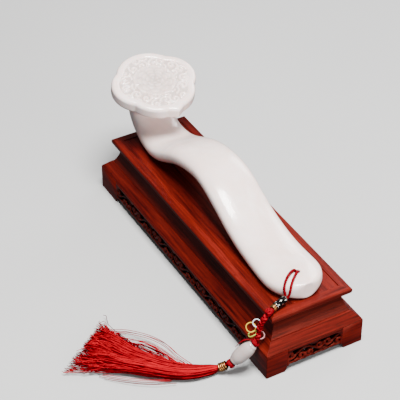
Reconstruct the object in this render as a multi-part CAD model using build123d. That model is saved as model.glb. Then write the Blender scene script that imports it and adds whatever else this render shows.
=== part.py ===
from build123d import *
import math
import os

# A carved ruyi lies in the recessed top of its fitted hardwood stand.
# A knotted pendant with beads and a tassel is tied through the hole in its tail.
# Millimetres. +X runs along the stand towards the tail, +Z is up, and the
# origin is the centre of the stand's footprint on the floor.

# Stand: outline sizes and the heights of its layers
BASE_LENGTH = 240.0
BASE_WIDTH = 75.5
TOP_LENGTH = 228.0
TOP_WIDTH = 62.5
APRON_BOTTOM = 3.8
APRON_TOP = 18.7
MOULDING_TOP = 25.4
WAIST_TOP = 39.8
SLAB_TOP = 45.4
RECESS_DEPTH = 0.5
PANEL_TOP = SLAB_TOP - RECESS_DEPTH

# Stand: boards
BOARD = 6.0
FOOT_LENGTH = 24.0
FOOT_WIDTH = 16.0
FOOT_RISE = 1.2
MOULDING_DEPTH = 12.0
WAIST_FOOT = 6.9
WAIST_NECK = 11.3
WAIST_DEPTH = 15.0
RIM = 6.6
TONGUE_LOW = 41.0
TONGUE_HIGH = 42.8
TONGUE_DEPTH = 2.2
GROOVE_DEPTH = 2.6
SLOT_LENGTH = 10.5
SLOT_HEIGHT = 5.2
SLOT_PITCH = 13.5
SLOT_MARGIN = 1.5
SLOT_DROP = 0.8
BLOCK_LEG = 13.0
BLOCK_BOTTOM = 5.0
MITRE_OVERRUN = 1.0

# Stand: points of the moulded sections, as (distance in from the board's
# outline, height above or below the layer that the point belongs to)
MOULDING_FOOT = 0.5
MOULDING_NOSE = (0.1, 0.6)
MOULDING_FLARE = (2.6, 3.2)
MOULDING_SHOULDER = 6.0
WAIST_COVE = (9.4, 5.0)
WAIST_UPRIGHT = 3.0
RAIL_UNDER = 1.9
RAIL_SWELL = (0.5, 1.5)
RAIL_NOSE_DROP = 2.2
RAIL_ROUND = (0.3, 0.6)
RAIL_CROWN = 1.1

# Ruyi: centreline and half sizes of the handle, from tail to head,
# as (x, z, half width, half thickness)
HANDLE = [
    (84.7, 51.2, 20.4, 7.0),
    (64.3, 51.8, 19.6, 7.1),
    (40.6, 56.6, 19.0, 7.2),
    (18.5, 65.9, 18.6, 7.2),
    (-5.6, 74.4, 18.3, 7.2),
    (-25.6, 73.2, 18.4, 7.2),
    (-49.8, 64.4, 18.7, 7.2),
    (-69.1, 54.5, 18.8, 7.2),
    (-89.5, 51.5, 17.5, 7.4),
    (-105.9, 58.6, 16.1, 8.7),
    (-105.6, 84.0, 14.4, 9.1),
]
SECTION_EXPONENT = 2.7
SECTION_POINTS = 20
TAIL_LENGTH = 23.4
TAIL_STEPS = (0.25, 0.45, 0.62, 0.76, 0.87, 0.945, 0.985)
TAIL_EXPONENT = 2.2
TAIL_TIP_THICKNESS = 0.8

# Ruyi: cloud-shaped head plate, tilted towards the tail
HEAD_X = -103.0
HEAD_Z = 95.2
HEAD_TILT = 11.5
HEAD_THICKNESS = 9.6
HEAD_EDGE = 2.6
HEAD_RELIEF = 0.6
HEAD_RIM = 5.0
HEAD_TURN = 3.5
BACK_LOBE = 29.2
BACK_NOTCH = (-18.0, 21.4)
SIDE_LOBE = (-3.6, 32.6)
SIDE_NOTCH = (16.0, 25.2)
FRONT_LOBE = (27.0, 17.6)
FRONT_TURN = (31.8, 6.6)
FRONT_TIP = 35.4
NOTCH_RADIUS = 0.8

# Ruyi: cord hole through the tail
HOLE_X = 94.0
HOLE_RADIUS = 2.0
TAIL_HEIGHT_LIMIT = 20.0
KNOT_SEAT_RADIUS = 3.4
KNOT_SEAT_DEPTH = 5.8
STOPPER_LIFT = 0.2

# Pendant: two red strands, each a route of hand-placed points from the knot
# under the tail to the top of the black bead. An arc takes up ARC_SHARE of the
# shorter run beside it.
ARC_SHARE = 0.45
STRAND_RADIUS = 0.8
STRAND_OFFSET = 0.83
STRAND_NEAR = [
    (93.1, -0.3, 49.0),
    (93.1, -0.3, 55.0),
    (93.0, -0.8, 59.5),
    (94.2, -4.8, 60.5),
    (96.9, -9.4, 60.1),
    (100.1, -13.4, 58.3),
    (102.4, -15.4, 54.8),
]
STRAND_FAR = [
    (94.9, 0.3, 49.0),
    (94.9, 0.3, 55.0),
    (95.1, -0.1, 59.6),
    (97.6, -3.4, 60.2),
    (101.0, -7.6, 59.8),
    (104.2, -11.0, 58.4),
    (106.4, -13.2, 55.0),
]
STOPPER_RADIUS = 2.6
BEAD_TOP = Vector(105.2, -15.9, 50.2)
BEAD_END = Vector(107.3, -24.8, 49.0)
BEAD_RADIUS = 2.45
BEAD_BORE = 1.95
BEAD_EDGE = 0.2
LEAD_IN = 1.6
STRAND_SHORT = 1.7
SPACER_GAP = 0.5
SPACER_LENGTH = 2.8
SPACER_RADIUS = 2.4
SPACER_EDGE = 0.3
PIECE_GAP = 0.3
ROUND_KNOT = Vector(109.8, -30.9, 48.6)
ROUND_KNOT_RADIUS = 3.0

# Pendant: braid from the round knot over the stand's edge and down through the
# jade bead, whose axis runs from JADE_TOP to JADE_END
BRAID_RADIUS = 2.2
BRAID_DROP = [
    (109.4, -35.4, 43.0),
    (108.2, -36.6, 37.0),
    (108.1, -37.4, 31.4),
]
JADE_TOP = Vector(108.7, -41.4, 24.2)
JADE_END = Vector(104.5, -54.4, 11.0)
JADE_END_RADIUS = 3.7
JADE_MIDDLE_RADIUS = 5.1
JADE_RIM = 0.7
JADE_BORE = 2.45
BRAID_LEAD_IN = 3.2
BEAD_KNOT_RADIUS = 3.1
BEAD_KNOT_HALF = 1.3
COLLAR_RADIUS = 3.3
COLLAR_HALF = 1.7
KNOT_FLAT = 0.45

# Pendant: stiff loops of coloured thread beside the braid,
# each as (centre, radius, axis)
LOOP_THREAD = 0.5
FACING_OUT = (0.68, -0.40, 0.62)
FACING_UP = (-0.28, -0.27, 0.92)
LOOPS = {
    "loop_white": ((105.9, -37.7, 39.0), 2.5, FACING_OUT),
    "loop_gold": ((104.2, -41.1, 35.4), 3.1, FACING_OUT),
    "loop_green": ((105.6, -40.7, 30.6), 2.7, FACING_UP),
    "loop_pink": ((108.1, -35.9, 29.4), 2.5, FACING_OUT),
}

# Tassel: gold wire coil, then the bundle of threads spreading over the floor,
# each section as (x, y, half width, half height)
COIL_START = 3.0
COIL_BORE = 1.9
COIL_SLEEVE = 2.15
COIL_WIRE = 0.75
COIL_TURNS = 4
COIL_END = Vector(98.9, -62.0, 4.2)
NECK_START = 2.8
NECK_CHAMFER = 0.6
NECK_GAP = 0.02
FLOOR_GAP = 0.4
SKIRT = [
    (97.6, -67.0, 3.7, 3.4),
    (94.4, -77.0, 5.6, 3.9),
    (89.0, -86.3, 7.1, 4.1),
    (77.2, -98.2, 9.0, 3.9),
    (63.0, -109.0, 12.2, 3.5),
    (49.0, -118.5, 17.2, 3.0),
    (38.5, -126.5, 22.5, 2.4),
    (33.0, -130.5, 24.0, 1.8),
]


def save(shape, node):
    shape.label = node
    export_step(shape, f"parts/{node}.step")


def prism(points, low, high):
    outline = Polyline(*points, close=True)
    return extrude(Plane.XY.offset(low) * make_face(outline), high - low)


def mitre_region(half_length, half_width, side):
    """The plan region of one side of a frame, bounded by its 45 degree mitres."""
    inner = half_length - half_width
    left_end = (-half_length, -half_width)
    left_start = (half_length, -half_width)
    right_end = (-half_length, half_width)
    right_start = (half_length, half_width)
    corners = {
        "left": [left_end, left_start, (inner, 0), (-inner, 0)],
        "right": [right_end, (-inner, 0), (inner, 0), right_start],
        "tail": [left_start, right_start, (inner, 0)],
        "head": [left_end, (-inner, 0), right_end],
    }
    return prism(corners[side], -MITRE_OVERRUN, SLAB_TOP + MITRE_OVERRUN)


def frame_member(half_length, half_width, profile, side):
    """One mitred member. The profile gives (distance in from the outline, height)."""
    if side in ("left", "right"):
        reach, run, turn = half_width, half_length, 0 if side == "left" else 180
    else:
        reach, run, turn = half_length, half_width, 90 if side == "tail" else -90
    face = Plane(origin=(-run, 0, 0), x_dir=(0, 1, 0), z_dir=(1, 0, 0)) * profile(-reach)
    bar = Rot(0, 0, turn) * extrude(face, 2 * run)
    return bar & mitre_region(half_length, half_width, side)


def moulding_profile(edge):
    """Flared moulding: a soft ogee from the apron's face in to the waist."""
    foot = (edge + MOULDING_FOOT, APRON_TOP)
    nose = (edge + MOULDING_NOSE[0], APRON_TOP + MOULDING_NOSE[1])
    middle = (edge + MOULDING_FLARE[0], APRON_TOP + MOULDING_FLARE[1])
    shoulder = (edge + MOULDING_SHOULDER, MOULDING_TOP)
    flare = Spline(nose, middle, shoulder)
    back = Polyline(
        shoulder,
        (edge + MOULDING_DEPTH, MOULDING_TOP),
        (edge + MOULDING_DEPTH, APRON_TOP),
        foot,
        nose,
    )
    return make_face([flare, back])


def waist_profile(edge):
    """Recessed waist: a cove that narrows upwards, then a short upright."""
    foot = (edge + WAIST_FOOT, MOULDING_TOP)
    middle = (edge + WAIST_COVE[0], MOULDING_TOP + WAIST_COVE[1])
    neck = (edge + WAIST_NECK, WAIST_TOP - WAIST_UPRIGHT)
    cove = Spline(foot, middle, neck)
    back = Polyline(
        neck,
        (edge + WAIST_NECK, WAIST_TOP),
        (edge + WAIST_DEPTH, WAIST_TOP),
        (edge + WAIST_DEPTH, MOULDING_TOP),
        foot,
    )
    return make_face([cove, back])


def rail_profile(edge):
    """Top rail: a rounded nose outside, a groove for the panel's tongue inside."""
    under = (edge + RAIL_UNDER, WAIST_TOP)
    swell = (edge + RAIL_SWELL[0], WAIST_TOP + RAIL_SWELL[1])
    nose = (edge, SLAB_TOP - RAIL_NOSE_DROP)
    rounding = (edge + RAIL_ROUND[0], SLAB_TOP - RAIL_ROUND[1])
    crown = (edge + RAIL_CROWN, SLAB_TOP)
    outer = [
        Spline(under, swell, nose),
        ThreePointArc(nose, rounding, crown),
    ]
    inner = Polyline(
        crown,
        (edge + RIM, SLAB_TOP),
        (edge + RIM, TONGUE_HIGH),
        (edge + RIM - GROOVE_DEPTH, TONGUE_HIGH),
        (edge + RIM - GROOVE_DEPTH, TONGUE_LOW),
        (edge + RIM, TONGUE_LOW),
        (edge + RIM, WAIST_TOP),
        under,
    )
    return make_face(outer + [inner])


def top_panel():
    """Floating panel, flush inside the rim, with a tongue all round."""
    length = TOP_LENGTH - 2 * RIM
    width = TOP_WIDTH - 2 * RIM
    field = Pos(0, 0, (WAIST_TOP + PANEL_TOP) / 2) * Box(length, width, PANEL_TOP - WAIST_TOP)
    tongue = Pos(0, 0, (TONGUE_LOW + TONGUE_HIGH) / 2) * Box(
        length + 2 * TONGUE_DEPTH, width + 2 * TONGUE_DEPTH, TONGUE_HIGH - TONGUE_LOW
    )
    return field + tongue


def corner_foot(sign_x, sign_y):
    """L-shaped bracket foot, its two inner ends undercut near the floor."""
    half_length = BASE_LENGTH / 2
    half_width = BASE_WIDTH / 2
    plan = [
        (half_length, half_width),
        (half_length - FOOT_LENGTH, half_width),
        (half_length - FOOT_LENGTH, half_width - BOARD),
        (half_length - BOARD, half_width - BOARD),
        (half_length - BOARD, half_width - FOOT_WIDTH),
        (half_length, half_width - FOOT_WIDTH),
    ]
    foot = prism(plan, 0, APRON_TOP)
    cut = [(0, 0), (FOOT_RISE, 0), (0, APRON_BOTTOM)]
    along = Plane(origin=(half_length - FOOT_LENGTH, half_width + 1, 0), x_dir=(1, 0, 0), z_dir=(0, -1, 0))
    foot -= extrude(along * make_face(Polyline(*cut, close=True)), BOARD + 2)
    across = Plane(origin=(half_length + 1, half_width - FOOT_WIDTH, 0), x_dir=(0, 1, 0), z_dir=(1, 0, 0))
    foot -= extrude(across * make_face(Polyline(*cut, close=True)), -BOARD - 2)
    if sign_x < 0:
        foot = mirror(foot, about=Plane.YZ)
    if sign_y < 0:
        foot = mirror(foot, about=Plane.XZ)
    return foot


def apron(side):
    """Pierced board between two feet, with a row of rounded openings."""
    if side in ("left", "right"):
        span, reach, turn = BASE_LENGTH - 2 * FOOT_LENGTH, BASE_WIDTH / 2, 0 if side == "left" else 180
    else:
        span, reach, turn = BASE_WIDTH - 2 * FOOT_WIDTH, BASE_LENGTH / 2, 90 if side == "tail" else -90
    middle = (APRON_BOTTOM + APRON_TOP) / 2
    board = Pos(0, -reach + BOARD / 2, middle) * Box(span, BOARD, APRON_TOP - APRON_BOTTOM)
    count = int((span - 2 * SLOT_MARGIN) // SLOT_PITCH)
    slot = extrude(Plane.XZ * SlotOverall(SLOT_LENGTH, SLOT_HEIGHT), BOARD, both=True)
    for place in range(count):
        x = (place - (count - 1) / 2) * SLOT_PITCH
        board -= Pos(x, -reach + BOARD / 2, middle - SLOT_DROP) * slot
    return Rot(0, 0, turn) * board


def corner_blocks():
    """Four triangular glue blocks inside the corners."""
    inner_x = BASE_LENGTH / 2 - BOARD
    inner_y = BASE_WIDTH / 2 - BOARD
    blocks = []
    for sign_x in (-1, 1):
        for sign_y in (-1, 1):
            corner = (sign_x * inner_x, sign_y * inner_y)
            along = (sign_x * (inner_x - BLOCK_LEG), sign_y * inner_y)
            across = (sign_x * inner_x, sign_y * (inner_y - BLOCK_LEG))
            blocks.append(prism([corner, along, across], BLOCK_BOTTOM, APRON_TOP))
    return Compound(children=blocks)


def oval_section(half_width, half_height):
    """Soft-cornered oval: a superellipse through evenly turned points."""
    points = []
    for step in range(SECTION_POINTS):
        angle = 2 * math.pi * step / SECTION_POINTS
        across = math.copysign(abs(math.cos(angle)) ** (2 / SECTION_EXPONENT), math.cos(angle))
        up = math.copysign(abs(math.sin(angle)) ** (2 / SECTION_EXPONENT), math.sin(angle))
        points.append((across * half_width, up * half_height))
    return make_face(Spline(*points, periodic=True))


def handle():
    """The S-curved handle, lofted from its rounded tail to the top of its neck."""
    centreline = Spline(*[(x, 0, z) for x, z, _, _ in HANDLE])
    sections = []
    tail_x, tail_z, tail_width, tail_thickness = HANDLE[0]
    back = centreline % 0
    for step in reversed(TAIL_STEPS):
        ease = (1 - step**TAIL_EXPONENT) ** (1 / TAIL_EXPONENT)
        thin = TAIL_TIP_THICKNESS + (1 - TAIL_TIP_THICKNESS) * ease
        origin = Vector(tail_x, 0, tail_z) - back * (TAIL_LENGTH * step)
        plane = Plane(origin=origin, x_dir=(0, 1, 0), z_dir=back)
        sections.append(plane * oval_section(tail_width * ease, tail_thickness * thin))
    for x, z, half_width, half_thickness in HANDLE:
        where = centreline.param_at_point((x, 0, z))
        plane = Plane(origin=(x, 0, z), x_dir=(0, 1, 0), z_dir=centreline % where)
        sections.append(plane * oval_section(half_width, half_thickness))
    return loft(sections)


def head_outline(inset):
    """Cloud of back, side and front lobes, mirrored about y = 0, with a pointed front."""
    mirrored_notch = (BACK_NOTCH[0], -BACK_NOTCH[1])
    back = ThreePointArc(mirrored_notch, (-BACK_LOBE, 0), BACK_NOTCH)
    side = ThreePointArc(BACK_NOTCH, SIDE_LOBE, SIDE_NOTCH)
    front = ThreePointArc(SIDE_NOTCH, FRONT_LOBE, FRONT_TURN)
    tip = Line(FRONT_TURN, (FRONT_TIP, 0))
    lower = [edge.mirror(Plane.XZ) for edge in (side, front, tip)]
    outline = make_face([back, side, front, tip] + lower)
    notches = [v for v in outline.vertices() if v.X < FRONT_TURN[0] - NOTCH_RADIUS]
    outline = fillet(notches, NOTCH_RADIUS)
    return offset(outline, -inset, kind=Kind.ARC) if inset else outline


def head_plate():
    tilt = math.radians(HEAD_TILT)
    plane = Plane(
        origin=(HEAD_X, 0, HEAD_Z),
        x_dir=(math.cos(tilt), 0, -math.sin(tilt)),
        z_dir=(math.sin(tilt), 0, math.cos(tilt)),
    )
    plate = extrude(head_outline(0), -HEAD_THICKNESS)
    rims = plate.edges().group_by(Axis.Z)
    plate = fillet(rims[0] + rims[-1], HEAD_EDGE)
    plate -= extrude(head_outline(HEAD_RIM), -HEAD_RELIEF)
    return plane * Rot(0, 0, HEAD_TURN) * plate


def ruyi_body():
    body = handle() + head_plate()
    body -= Pos(HOLE_X, 0, PANEL_TOP) * Cylinder(HOLE_RADIUS, 2 * TAIL_HEIGHT_LIMIT)
    above = (Align.CENTER, Align.CENTER, Align.MIN)
    seat = Cylinder(KNOT_SEAT_RADIUS, KNOT_SEAT_DEPTH, align=above)
    body -= Pos(HOLE_X, 0, PANEL_TOP) * seat
    keep = Pos(0, 0, PANEL_TOP) * Box(2 * BASE_LENGTH, 2 * BASE_WIDTH, 2 * HEAD_Z, align=above)
    return body & keep


def cord_path(points):
    """Straight runs joined by arcs that are as large as their runs allow."""
    points = [Vector(*p) for p in points]
    runs = [b - a for a, b in zip(points, points[1:])]
    radii = []
    for before, after in zip(runs, runs[1:]):
        half_turn = math.radians(before.get_angle(after)) / 2
        radii.append(ARC_SHARE * min(before.length, after.length) / math.tan(half_turn))
    return FilletPolyline(*points, radius=radii), radii


def tube(points, radius, name):
    path, radii = cord_path(points)
    start = Plane(origin=path @ 0, z_dir=path % 0)
    solid = sweep(start * Circle(radius), path=path)
    print(name, "radii", [round(r, 1) for r in radii], "length", round(path.length, 1))
    print(name, "volume against section times length", solid.volume / (math.pi * radius**2 * path.length))
    return solid


def turned(profile, start, direction):
    """Solid of revolution about a line; the profile gives (radius, distance along)."""
    outline = make_face(Plane.XZ * Polyline(*profile, close=True))
    return Plane(origin=start, z_dir=direction) * revolve(outline, Axis.Z)


def flattened_knot(centre, direction, radius, half_length):
    """A soft disc-shaped knot about the cord's line."""
    low = (radius * KNOT_FLAT, -half_length)
    high = (radius * KNOT_FLAT, half_length)
    outline = [
        ThreePointArc(low, (radius, 0), high),
        Polyline(high, (0, half_length), (0, -half_length), low),
    ]
    knot = revolve(Plane.XZ * make_face(outline), Axis.Z)
    return Plane(origin=centre, z_dir=direction) * knot


def bead_line():
    return (BEAD_END - BEAD_TOP).normalized()


def spacer_line():
    return (ROUND_KNOT - BEAD_END).normalized()


def jade_line():
    return (JADE_END - JADE_TOP).normalized()


def strand(points, side, name):
    """One strand: over the tail, then side by side with the other through the bead."""
    across = bead_line().cross(Vector(0, 0, 1)).normalized() * (side * STRAND_OFFSET)
    lead_in = BEAD_TOP - bead_line() * LEAD_IN + across
    finish = ROUND_KNOT - spacer_line() * STRAND_SHORT + across
    route = points + [tuple(lead_in), tuple(BEAD_END + across), tuple(finish)]
    return tube(route, STRAND_RADIUS, name)


def ring(start, direction, length, radius, edge):
    """Short tube about the strands, with chamfered rims."""
    profile = [
        (BEAD_BORE, 0),
        (radius - edge, 0),
        (radius, edge),
        (radius, length - edge),
        (radius - edge, length),
        (BEAD_BORE, length),
    ]
    return turned(profile, start, direction)


def black_bead():
    length = (BEAD_END - BEAD_TOP).length
    return ring(BEAD_TOP, bead_line(), length, BEAD_RADIUS, BEAD_EDGE)


def gold_spacer():
    start = BEAD_END + spacer_line() * SPACER_GAP
    return ring(start, spacer_line(), SPACER_LENGTH, SPACER_RADIUS, SPACER_EDGE)


def jade_bead():
    """Barrel bead with rounded rims and a through bore."""
    length = (JADE_END - JADE_TOP).length
    face = JADE_END_RADIUS - JADE_RIM
    inset = (1 - math.sqrt(0.5)) * JADE_RIM
    low_rim = [(JADE_END_RADIUS, JADE_RIM), (JADE_END_RADIUS - inset, inset), (face, 0)]
    high_rim = [(radius, length - rise) for radius, rise in reversed(low_rim)]
    outline = [
        Polyline(low_rim[-1], (JADE_BORE, 0), (JADE_BORE, length), high_rim[0]),
        ThreePointArc(*high_rim),
        ThreePointArc(high_rim[-1], (JADE_MIDDLE_RADIUS, length / 2), low_rim[0]),
        ThreePointArc(*low_rim),
    ]
    bead = revolve(Plane.XZ * make_face(outline), Axis.Z)
    return Plane(origin=JADE_TOP, z_dir=jade_line()) * bead


def collar_centre():
    return JADE_END + jade_line() * (PIECE_GAP + COLLAR_HALF)


def braid():
    upper = JADE_TOP - jade_line() * BRAID_LEAD_IN
    points = [tuple(ROUND_KNOT)] + BRAID_DROP + [tuple(upper), tuple(collar_centre())]
    return tube(points, BRAID_RADIUS, "braid")


def thread_loop(centre, radius, axis):
    return Plane(origin=centre, z_dir=axis) * Torus(radius, LOOP_THREAD)


def coil_line():
    return (COIL_END - collar_centre()).normalized()


def gold_coil():
    """Whipping of wire: a thin sleeve under a few closed turns."""
    start = collar_centre() + coil_line() * COIL_START
    length = (COIL_END - start).length
    pitch = length / COIL_TURNS
    coil = Cylinder(COIL_SLEEVE, length, align=(Align.CENTER, Align.CENTER, Align.MIN))
    for turn in range(COIL_TURNS):
        coil += Pos(0, 0, (turn + 0.5) * pitch) * Torus(COIL_SLEEVE, COIL_WIRE)
    coil -= Cylinder(COIL_BORE, 3 * length)
    return Plane(origin=start, z_dir=coil_line()) * coil


def tassel_skirt():
    """The bundle of threads: round inside the coil, then flat and wide on the floor."""
    line = coil_line()
    across = Vector(0, 0, 1).cross(line).normalized() * -1
    neck = Plane(origin=collar_centre() + line * NECK_START, x_dir=across, z_dir=line)
    neck_length = (COIL_END - neck.origin).length
    inside = COIL_BORE - NECK_GAP
    neck_part = extrude(Circle(inside), neck_length)
    neck_part = neck * chamfer(neck_part.edges().group_by(Axis.Z)[0], NECK_CHAMFER)
    places = [COIL_END] + [Vector(x, y, half_height + FLOOR_GAP) for x, y, _, half_height in SKIRT]
    spread = [Plane(origin=COIL_END, x_dir=across, z_dir=line) * Circle(inside)]
    for place in range(1, len(places)):
        x, y, half_width, half_height = SKIRT[place - 1]
        ahead = places[min(place + 1, len(places) - 1)] - places[place - 1]
        ahead = Vector(ahead.X, ahead.Y, 0).normalized()
        across = Vector(0, 0, 1).cross(ahead) * -1
        plane = Plane(origin=places[place], x_dir=across, z_dir=ahead)
        spread.append(plane * Ellipse(half_width, half_height))
    return neck_part + loft(spread)


def main():
    base = (BASE_LENGTH / 2, BASE_WIDTH / 2)
    top = (TOP_LENGTH / 2, TOP_WIDTH / 2)
    for side in ("left", "right", "tail", "head"):
        save(frame_member(*top, rail_profile, side), f"top_rail_{side}")
        save(frame_member(*base, waist_profile, side), f"waist_{side}")
        save(frame_member(*base, moulding_profile, side), f"moulding_{side}")
        save(apron(side), f"apron_{side}")
    for sign_x, end in ((1, "tail"), (-1, "head")):
        for sign_y, side in ((-1, "left"), (1, "right")):
            save(corner_foot(sign_x, sign_y), f"foot_{end}_{side}")
    save(top_panel(), "top_panel")
    save(corner_blocks(), "corner_blocks")
    save(ruyi_body(), "ruyi_body")
    save(Pos(HOLE_X, 0, PANEL_TOP + STOPPER_RADIUS + STOPPER_LIFT) * Sphere(STOPPER_RADIUS), "stopper_knot")
    save(strand(STRAND_NEAR, 1, "strand_near"), "strand_near")
    save(strand(STRAND_FAR, -1, "strand_far"), "strand_far")
    save(black_bead(), "black_bead")
    save(gold_spacer(), "gold_spacer")
    save(Pos(*ROUND_KNOT) * Sphere(ROUND_KNOT_RADIUS), "round_knot")
    save(braid(), "braid")
    for name, (centre, radius, axis) in LOOPS.items():
        save(thread_loop(centre, radius, axis), name)
    bead_knot_centre = JADE_TOP - jade_line() * (PIECE_GAP + BEAD_KNOT_HALF)
    save(flattened_knot(bead_knot_centre, jade_line(), BEAD_KNOT_RADIUS, BEAD_KNOT_HALF), "bead_knot")
    save(jade_bead(), "jade_bead")
    save(flattened_knot(collar_centre(), jade_line(), COLLAR_RADIUS, COLLAR_HALF), "collar_knot")
    save(gold_coil(), "gold_coil")
    save(tassel_skirt(), "tassel_skirt")


main()
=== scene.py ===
import math
import random

import bmesh
import bpy
import numpy as np
from mathutils import Matrix, Vector, kdtree


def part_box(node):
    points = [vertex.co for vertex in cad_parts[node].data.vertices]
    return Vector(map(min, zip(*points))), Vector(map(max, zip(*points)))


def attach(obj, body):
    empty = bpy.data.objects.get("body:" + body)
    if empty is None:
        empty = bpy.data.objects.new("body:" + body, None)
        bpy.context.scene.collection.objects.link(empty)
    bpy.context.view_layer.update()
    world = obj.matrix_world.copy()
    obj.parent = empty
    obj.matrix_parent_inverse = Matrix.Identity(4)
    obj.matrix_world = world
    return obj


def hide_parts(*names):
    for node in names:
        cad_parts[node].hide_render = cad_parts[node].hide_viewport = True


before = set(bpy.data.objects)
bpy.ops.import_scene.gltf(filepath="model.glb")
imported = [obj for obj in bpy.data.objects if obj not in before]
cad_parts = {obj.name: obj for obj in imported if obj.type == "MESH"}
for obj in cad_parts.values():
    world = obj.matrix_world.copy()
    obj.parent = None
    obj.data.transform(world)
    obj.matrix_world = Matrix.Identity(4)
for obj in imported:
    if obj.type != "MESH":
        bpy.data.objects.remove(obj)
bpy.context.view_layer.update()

# A white jade ruyi on its rosewood stand, with a knotted pendant and tassel.
# Shapes are worked out in millimetres in the row frame, and become metres when
# a piece is made. Points of the CAD meshes within SEAM of each other are one.
MM = 0.001
SEAM = 0.002
random.seed(7)

# Camera
TARGET = (-23.2, -6.7, 40.0)
CAMERA_DISTANCE = 1083.0
CAMERA_AZIMUTH = 60.41
CAMERA_ELEVATION = 38.29
LENS = 136.47

# Stand
BASE_LENGTH = 240.0
BASE_WIDTH = 75.5
FOOT_LENGTH = 24.0
FOOT_WIDTH = 16.0
APRON_BOTTOM = 3.8
APRON_TOP = 18.7

# Ruyi: the head's plane and relief
HEAD_CENTRE = Vector((-103.0, 0.0, 95.2))
HEAD_TILT = math.radians(11.5)
HEAD_TURN = math.radians(3.5)
HEAD_NORMAL = Vector((math.sin(HEAD_TILT), 0.0, math.cos(HEAD_TILT)))
HEAD_AHEAD = Vector((math.cos(HEAD_TILT), 0.0, -math.sin(HEAD_TILT)))
HEAD_THICKNESS = 9.6
HEAD_RELIEF = 1.14
HEAD_REACH = 40.0
STONE_VOXEL = 0.4
POLISH_ROUNDS = 5
# The neck's top, which is eased into the head: its oval, its heights from the
# head's underside, and the rounds of smoothing
NECK_HALF_LENGTH = 17.0
NECK_HALF_WIDTH = 21.0
NECK_MIDDLE = -2.0
NECK_FADE = 7.0
NECK_TOP = 2.5
NECK_ROUNDS = 130
# The inside of the low bend, which is smoothed: its middle, how far out that
# reaches and how steeply it sets in
BEND_X = -86.0
BEND_Z = 60.0
BEND_REACH = 13.0
BEND_RISE = 2.5
BEND_ROUNDS = 200

# Pendant: routes and pieces, as in the CAD model
ROPE_RADIUS = 1.0
ROPE_PLIES = 3
ROPE_PITCH = 4.2
STRAND_OFFSET = 0.83
STRAND_NEAR = [
    (93.1, -0.3, 49.0),
    (93.1, -0.3, 55.0),
    (93.0, -0.8, 59.5),
    (94.2, -4.8, 60.5),
    (96.9, -9.4, 60.1),
    (100.1, -13.4, 58.3),
    (102.4, -15.4, 54.8),
]
STRAND_FAR = [
    (94.9, 0.3, 49.0),
    (94.9, 0.3, 55.0),
    (95.1, -0.1, 59.6),
    (97.6, -3.4, 60.2),
    (101.0, -7.6, 59.8),
    (104.2, -11.0, 58.4),
    (106.4, -13.2, 55.0),
]
LEAD_IN = 1.6
STRAND_SHORT = 1.7
BEAD_TOP = Vector((105.2, -15.9, 50.2))
BEAD_END = Vector((107.3, -24.8, 49.0))
BEAD_LINE = (BEAD_END - BEAD_TOP).normalized()
BEAD_RADIUS = 2.45
BEAD_BORE = 1.95
ROUND_KNOT = Vector((109.8, -30.9, 48.6))
ROUND_KNOT_RADIUS = 3.0
SPACER_LINE = (ROUND_KNOT - BEAD_END).normalized()
SPACER_GAP = 0.5
SPACER_LENGTH = 2.8
SPACER_RADIUS = 2.4
PIECE_GAP = 0.3
BRAID_DROP = [
    (109.4, -35.4, 43.0),
    (108.2, -36.6, 37.0),
    (108.1, -37.4, 31.4),
]
BRAID_LEAD_IN = 3.2
BRAID_PITCH = 5.0
BRAID_BULGES = (2.0, 2.1, 2.45, 1.9, 2.5, 1.9, 2.3, 1.7, 1.9, 1.7, 1.8, 1.8, 1.8, 1.8, 1.8)
JADE_TOP = Vector((108.7, -41.4, 24.2))
JADE_END = Vector((104.5, -54.4, 11.0))
JADE_LINE = (JADE_END - JADE_TOP).normalized()
JADE_END_RADIUS = 3.7
JADE_MIDDLE_RADIUS = 5.1
JADE_BORE = 2.45
BEAD_KNOT_RADIUS = 3.1
BEAD_KNOT_HALF = 1.3
COLLAR_RADIUS = 3.3
COLLAR_HALF = 1.7
COLLAR = JADE_END + JADE_LINE * (PIECE_GAP + COLLAR_HALF)
LOOP_THREAD = 0.5
FACING_OUT = (0.68, -0.40, 0.62)
FACING_UP = (-0.28, -0.27, 0.92)
# Each loop's centre, radius and axis, and its thread's dark and bright colours
LOOPS = {
    "white": ((105.9, -37.7, 39.0), 2.5, FACING_OUT, (0.16, 0.20, 0.26), (0.74, 0.76, 0.80)),
    "gold": ((104.2, -41.1, 35.4), 3.1, FACING_OUT, (0.20, 0.10, 0.010), (0.66, 0.43, 0.06)),
    "green": ((105.6, -40.7, 30.6), 2.7, FACING_UP, (0.05, 0.10, 0.015), (0.36, 0.42, 0.07)),
    "pink": ((108.1, -35.9, 29.4), 2.5, FACING_OUT, (0.30, 0.05, 0.06), (0.74, 0.40, 0.40)),
}
COIL_END = Vector((98.9, -62.0, 4.2))
COIL_LINE = (COIL_END - COLLAR).normalized()
COIL_START = COLLAR + COIL_LINE * 3.0
COIL_BORE = 1.9
COIL_SLEEVE = 2.15
COIL_WIRE = 0.60
COIL_TURNS = 4
FLOOR_GAP = 0.4
# The tassel's bundle: x, y, half width, half height
SKIRT = [
    (97.6, -67.0, 3.7, 3.4),
    (94.4, -77.0, 5.6, 3.9),
    (89.0, -86.3, 7.1, 4.1),
    (77.2, -98.2, 9.0, 3.9),
    (63.0, -109.0, 12.2, 3.5),
    (49.0, -118.5, 17.2, 3.0),
    (38.5, -126.5, 22.5, 2.4),
    (33.0, -130.5, 24.0, 1.8),
]


# ---- materials


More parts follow.
